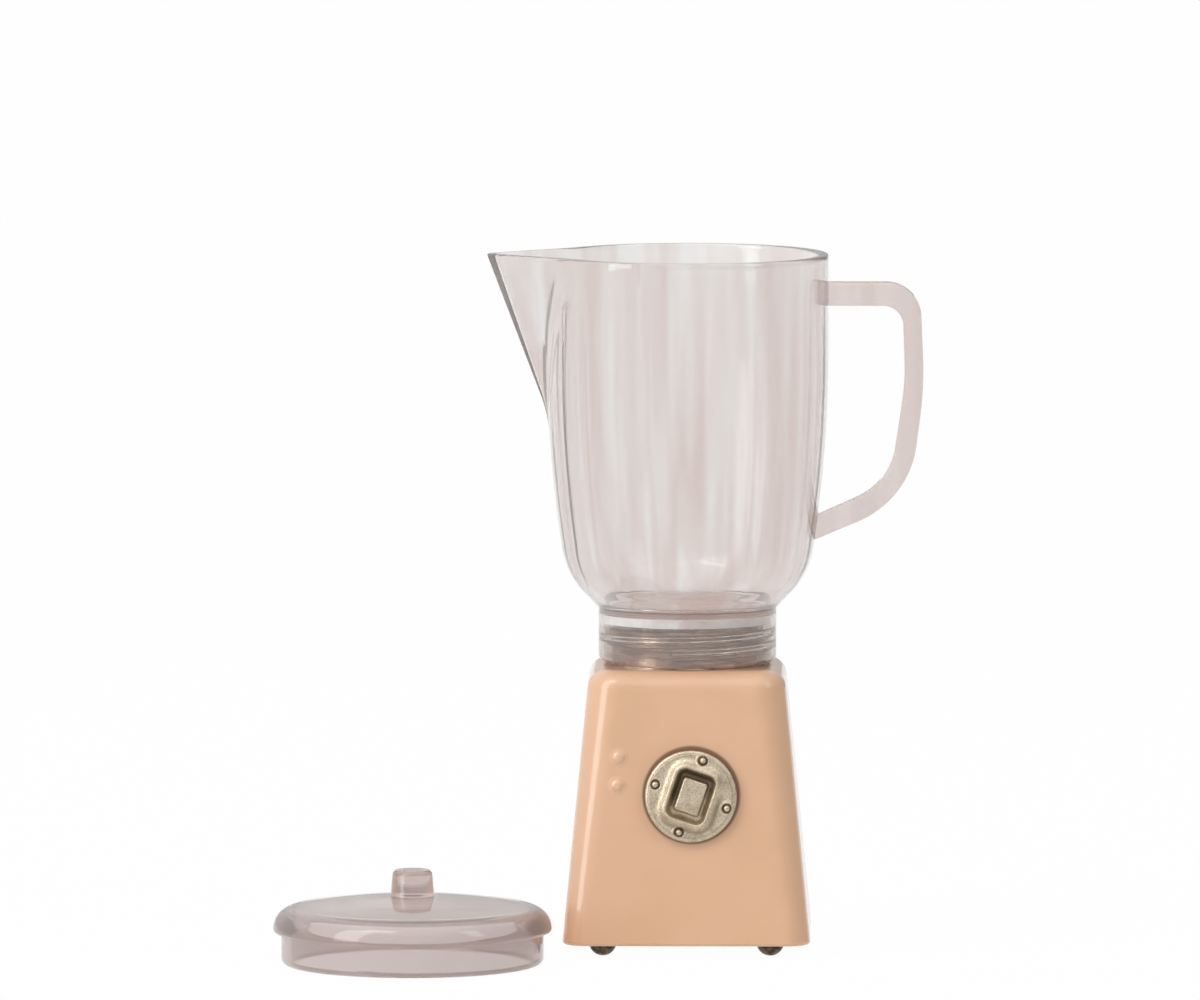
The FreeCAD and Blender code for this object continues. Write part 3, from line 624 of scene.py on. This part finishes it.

# %% [markdown]
# The alloy is nickel-coloured and was tumbled, so its skin is finely grained
# and neither bright nor dull. The dark wash that is rubbed into such a casting
# stays in its hollows. The height field's script already knows where those
# are, so it gives each point a value for that wash. Painted shade is added to
# that value on the sides away from the light and at the rim, and the material reads it.

# %% Cast nickel alloy
def cast_nickel():
    """Cast nickel alloy: sand grain 0.2 mm across, and a dark brown wash and painted shade where the piece
    says so.
    """
    material, tree = new_material("cast_nickel_tumbled")
    where = in_millimetres(tree)
    wash_and_shade = add(tree, "Attribute", attribute_name="wash_and_shade").outputs["Fac"]
    patch = add(tree, "TexNoise", {"Vector": where, "Scale": 1 / 1.4, "Detail": 3.0})
    patch = add(tree, "MapRange", {0: patch, 1: 0.3, 2: 0.7}, **eased)
    metal = add(tree, "Mix", {0: patch, 6: linear("#C1B199"), 7: linear("#D5C8B1")}, **in_colour)
    fine = add(tree, "TexNoise", {"Vector": where, "Scale": 1 / 0.2, "Detail": 3.0, "Roughness": 0.6})
    speck = add(tree, "MapRange", {0: fine, 1: 0.52, 2: 0.36}, **eased)
    speck = add(tree, "Math", {0: speck, 1: 0.5}, operation="MULTIPLY")
    metal = add(tree, "Mix", {0: speck, 6: metal, 7: linear("#8A7A5A")}, **in_colour)
    # The piece's value darkens the metal: wash in the hollows, and painted shade.
    colour = add(tree, "Mix", {0: wash_and_shade, 6: metal, 7: linear("#4F3D22")}, **in_colour)
    rough = add(tree, "Mix", {0: wash_and_shade, 2: 0.31, 3: 0.6})
    relief = add(tree, "Bump", {"Height": fine, "Distance": 0.07 * MM})
    body = add(tree, "BsdfPrincipled", {"Base Color": colour, "Metallic": 0.85, "Roughness": rough,
                                        "Normal": relief})
    add(tree, "OutputMaterial", {"Surface": body})
    return material


nickel = cast_nickel()
casting.data.materials.append(nickel)
dress(nickel, "dial_pips")

# %% [markdown]
# The neck that the jug screws on to is turned from a soft white metal and
# tinned. Turning leaves fine lines round it, and handling leaves brown-grey
# tarnish. Noise that is stretched sideways by a Mapping node gives both, because
# its lumps become streaks: narrow ones for the lines and wide ones for tarnish.

# %% Turned and tinned neck
def tinned_neck():
    """Tinned metal with turning lines 0.25 mm apart and cloudy tarnish in wide level streaks."""
    material, tree = new_material("turned_tin_plate")
    where = in_millimetres(tree)
    flat = add(tree, "Mapping", {"Vector": where, "Scale": (0.08, 0.08, 4.0)})
    lines = add(tree, "TexNoise", {"Vector": flat, "Scale": 1.0, "Detail": 3.0})
    wide = add(tree, "Mapping", {"Vector": where, "Scale": (0.22, 0.22, 1.6)})
    tarnish = add(tree, "TexNoise", {"Vector": wide, "Scale": 1.0, "Detail": 4.0, "Roughness": 0.6})
    tarnish = add(tree, "MapRange", {0: tarnish, 1: 0.35, 2: 0.66}, **eased)
    colour = add(tree, "Mix", {0: tarnish, 6: linear("#CDB8AA"), 7: linear("#746056")}, **in_colour)
    rough = add(tree, "Mix", {0: tarnish, 2: 0.25, 3: 0.42})
    relief = add(tree, "Bump", {"Height": lines, "Distance": 0.03 * MM})
    body = add(tree, "BsdfPrincipled", {"Base Color": colour, "Metallic": 1.0, "Roughness": rough,
                                        "Normal": relief})
    add(tree, "OutputMaterial", {"Surface": body})
    return material


dress(tinned_neck(), "threaded_neck")

# %% [markdown]
# The hidden metal pieces are plain: zinc-plated steel for the nut, washer,
# spindle, spring and clip, brass for the bush, and steel sheet for the bottom
# plate. The four studs are blackened brass and have worn to a dull brown. All
# of them are a clean metal under a duller skin, so one function serves, and the
# alloy is in the two colours.

# %% Plated steel, brass and blackened studs
def worn_metal(name, clean, dull, lump, smooth, rough, relief):
    """A metal whose clean colour shows through a duller skin in patches of lump mm."""
    material, tree = new_material(name)
    where = in_millimetres(tree)
    skin = add(tree, "TexNoise", {"Vector": where, "Scale": 1 / lump, "Detail": 4.0, "Roughness": 0.6})
    skin = add(tree, "MapRange", {0: skin, 1: 0.35, 2: 0.65}, **eased)
    colour = add(tree, "Mix", {0: skin, 6: linear(clean), 7: linear(dull)}, **in_colour)
    shine = add(tree, "Mix", {0: skin, 2: smooth, 3: rough})
    fine = add(tree, "TexNoise", {"Vector": where, "Scale": 1 / (lump / 6)})
    pits = add(tree, "Bump", {"Height": fine, "Distance": relief * MM})
    body = add(tree, "BsdfPrincipled", {"Base Color": colour, "Metallic": 1.0, "Roughness": shine,
                                        "Normal": pits})
    add(tree, "OutputMaterial", {"Surface": body})
    return material


dress(worn_metal("zinc_plated_steel", "#C9CBCB", "#9A9C9A", 1.5, 0.3, 0.45, 0.01),
      "neck_washer", "neck_nut", "dial_spindle", "dial_spring", "dial_clip")
dress(worn_metal("turned_brass", "#C9A55B", "#8F7338", 1.2, 0.25, 0.4, 0.01), "dial_bush")
dress(worn_metal("galvanised_sheet_steel", "#B9B7B2", "#8B8882", 3.0, 0.35, 0.55, 0.02), "base_plate")
dress(worn_metal("blackened_brass_studs", "#6A5A45", "#3A3026", 0.9, 0.32, 0.5, 0.015),
      "foot_front_right", "foot_front_left", "foot_back_right", "foot_back_left")

# %% [markdown]
# The pale ring over the neck is a silicone washer. Silicone lets a little light
# in, which softens its shade, and it gathers a faint bloom. Subsurface light
# does the first, and two near whites do the second.

# %% White silicone
def silicone():
    """White silicone rubber: soft, slightly see-through, with a bloom in clouds 1.5 mm across."""
    material, tree = new_material("white_silicone")
    where = in_millimetres(tree)
    bloom = add(tree, "TexNoise", {"Vector": where, "Scale": 1 / 1.5})
    bloom = add(tree, "MapRange", {0: bloom, 1: 0.3, 2: 0.7}, **eased)
    colour = add(tree, "Mix", {0: bloom, 6: linear("#EDEEEE"), 7: linear("#DDDEDE")}, **in_colour)
    body = add(tree, "BsdfPrincipled", {"Base Color": colour, "Roughness": 0.45,
                                        "Subsurface Weight": 0.3, "Subsurface Scale": 0.6 * MM})
    add(tree, "OutputMaterial", {"Surface": body})
    return material


dress(silicone(), "jug_seal")

# %% [markdown]
# The studio is a pale floor without an edge in view, in front of a white room.
# More lamps would make both white, and would wash out the enamel, so rays that
# reach the eye find plain white there, and only the light that falls on the
# object comes from the real lamps. Gloss is the exception: metal and enamel
# need something darker to show their shape, so the room fades to grey towards
# its lower right for them.

# %% Floor
def is_seen(tree):
    """1 for rays that reach the eye: straight from the camera, or by gloss or through glass."""
    path = add(tree, "LightPath")
    bent = add(tree, "Math", {0: path.outputs["Is Glossy Ray"], 1: path.outputs["Is Transmission Ray"]},
               operation="MAXIMUM")
    return add(tree, "Math", {0: path.outputs["Is Camera Ray"], 1: bent}, operation="MAXIMUM")


floor_white_share = 0.98            # of what the camera sees of the floor


def pale_floor():
    """Matt pale paper. Most of what the camera sees of it is plain white, and the rest keeps the shadows."""
    material, tree = new_material("pale_paper_floor")
    paper = add(tree, "BsdfDiffuse", {"Color": linear("#F2F0EE")})
    white = add(tree, "Emission", {"Color": (1, 1, 1, 1), "Strength": 1.0})
    share = add(tree, "Math", {0: is_seen(tree), 1: floor_white_share}, operation="MULTIPLY")
    surface = add(tree, "MixShader", {0: share, 1: paper, 2: white})
    add(tree, "OutputMaterial", {"Surface": surface})
    return material


floor_half = 4.0                    # metres
floor_mesh = bpy.data.meshes.new("floor")
floor_mesh.from_pydata([(-floor_half, -floor_half, 0), (floor_half, -floor_half, 0),
                        (floor_half, floor_half, 0), (-floor_half, floor_half, 0)], [], [(0, 1, 2, 3)])
floor = bpy.data.objects.new("floor", floor_mesh)
bpy.context.scene.collection.objects.link(floor)
floor_mesh.materials.append(pale_floor())
print("floor:", 2 * floor_half, "m across")

# %% [markdown]
# The world is the rest of the room. Its strength for gloss is a soft gradient
# of the ray's direction, bright at the upper left and grey at the lower right.
# A ray that came through glass counts as glossy too, and it keeps the plain
# white, or the clear jug would show the gradient where its walls bend light.

# %% World
world = bpy.data.worlds.new("studio")
bpy.context.scene.world = world
world.use_nodes = True
world.node_tree.nodes.clear()
sky = world.node_tree
ray = add(sky, "TexCoord").outputs["Generated"]
towards = add(sky, "VectorMath", {0: ray, 1: (-0.5, 0, 0.85)}, operation="DOT_PRODUCT").outputs["Value"]
room = add(sky, "MapRange", {0: towards, 1: -0.5, 2: 0.75, 3: 0.25, 4: 1.0}, **eased)
path = add(sky, "LightPath")
is_gloss = add(sky, "Math", {0: path.outputs["Is Glossy Ray"], 1: path.outputs["Is Transmission Ray"]},
               operation="SUBTRACT", use_clamp=True)
soft = add(sky, "Background", {"Color": (1.0, 0.985, 0.97, 1), "Strength": 0.5})
white = add(sky, "Background", {"Color": (1, 1, 1, 1), "Strength": 1.0})
shaded = add(sky, "Background", {"Color": (1, 1, 1, 1), "Strength": room})
backdrop = add(sky, "MixShader", {0: is_gloss, 1: white, 2: shaded})
whole = add(sky, "MixShader", {0: is_seen(sky), 1: soft, 2: backdrop})
add(sky, "OutputWorld", {"Surface": whole})
print("world:", len(sky.nodes), "nodes")

# %% [markdown]
# A tall softbox on the left draws the bright line down the enamel's corner. A
# small one above it turns that line in at the shoulder, a weak one on the right
# lifts the other side, and a large one overhead lights the lid and the rim.
# Together with the world they show a white card about its own colour.

# %% Softboxes
def softbox(name, azimuth, elevation, distance, size, watts, aim=(0, 0, 0.045)):
    """A rectangular lamp that faces aim, azimuth degrees right of the front. Lengths are in metres."""
    a, e = math.radians(azimuth), math.radians(elevation)
    towards = Vector((math.sin(a) * math.cos(e), -math.cos(a) * math.cos(e), math.sin(e)))
    place = towards * distance + Vector(aim)
    data = bpy.data.lights.new(name, "AREA")
    data.shape = "RECTANGLE"
    data.size, data.size_y = size
    data.energy = watts
    lamp = bpy.data.objects.new(name, data)
    lamp.location = place
    lamp.rotation_euler = (place - Vector(aim)).to_track_quat("Z", "Y").to_euler()
    lamp.visible_camera = False
    bpy.context.scene.collection.objects.link(lamp)
    print(f"{name}: {watts} W over {size[0]} by {size[1]} m")


softbox("left_strip", -56, 22, 1.2, (0.5, 1.3), 6.5)
softbox("upper_left", -38, 54, 1.3, (0.5, 0.3), 1.6)
softbox("right_strip", 58, 34, 1.4, (0.3, 0.8), 1.6)
softbox("overhead", -10, 68, 1.3, (1.6, 1.6), 4.0)

# %% [markdown]
# The photograph was taken with a long lens from a little above the table, so
# upright lines stay almost parallel. The camera stands 2.2 m away with a
# 512 mm lens, and looks slightly to the left of the jug's axis, which leaves
# room for the lid.

# %% Camera
camera_away = 2.2
camera_high = 0.2585
camera_round = math.radians(0.6)
camera_down = math.radians(5.208)
camera_left = math.radians(0.295)
lens_pixels = 17083                 # focal length in pixels of the photograph, which is 1200 wide
camera_data = bpy.data.cameras.new("camera")
camera_data.sensor_width = 36.0
camera_data.lens = lens_pixels / 1200 * camera_data.sensor_width
camera_data.clip_end = 50.0
camera = bpy.data.objects.new("camera", camera_data)
camera.location = (camera_away * math.sin(camera_round), -camera_away * math.cos(camera_round), camera_high)
camera.rotation_euler = (math.pi / 2 - camera_down, 0, camera_round + camera_left)
bpy.context.scene.collection.objects.link(camera)
bpy.context.scene.camera = camera
bpy.context.scene.view_settings.view_transform = "Standard"
print(f"camera: {camera_data.lens:.0f} mm lens, {camera_away} m away")
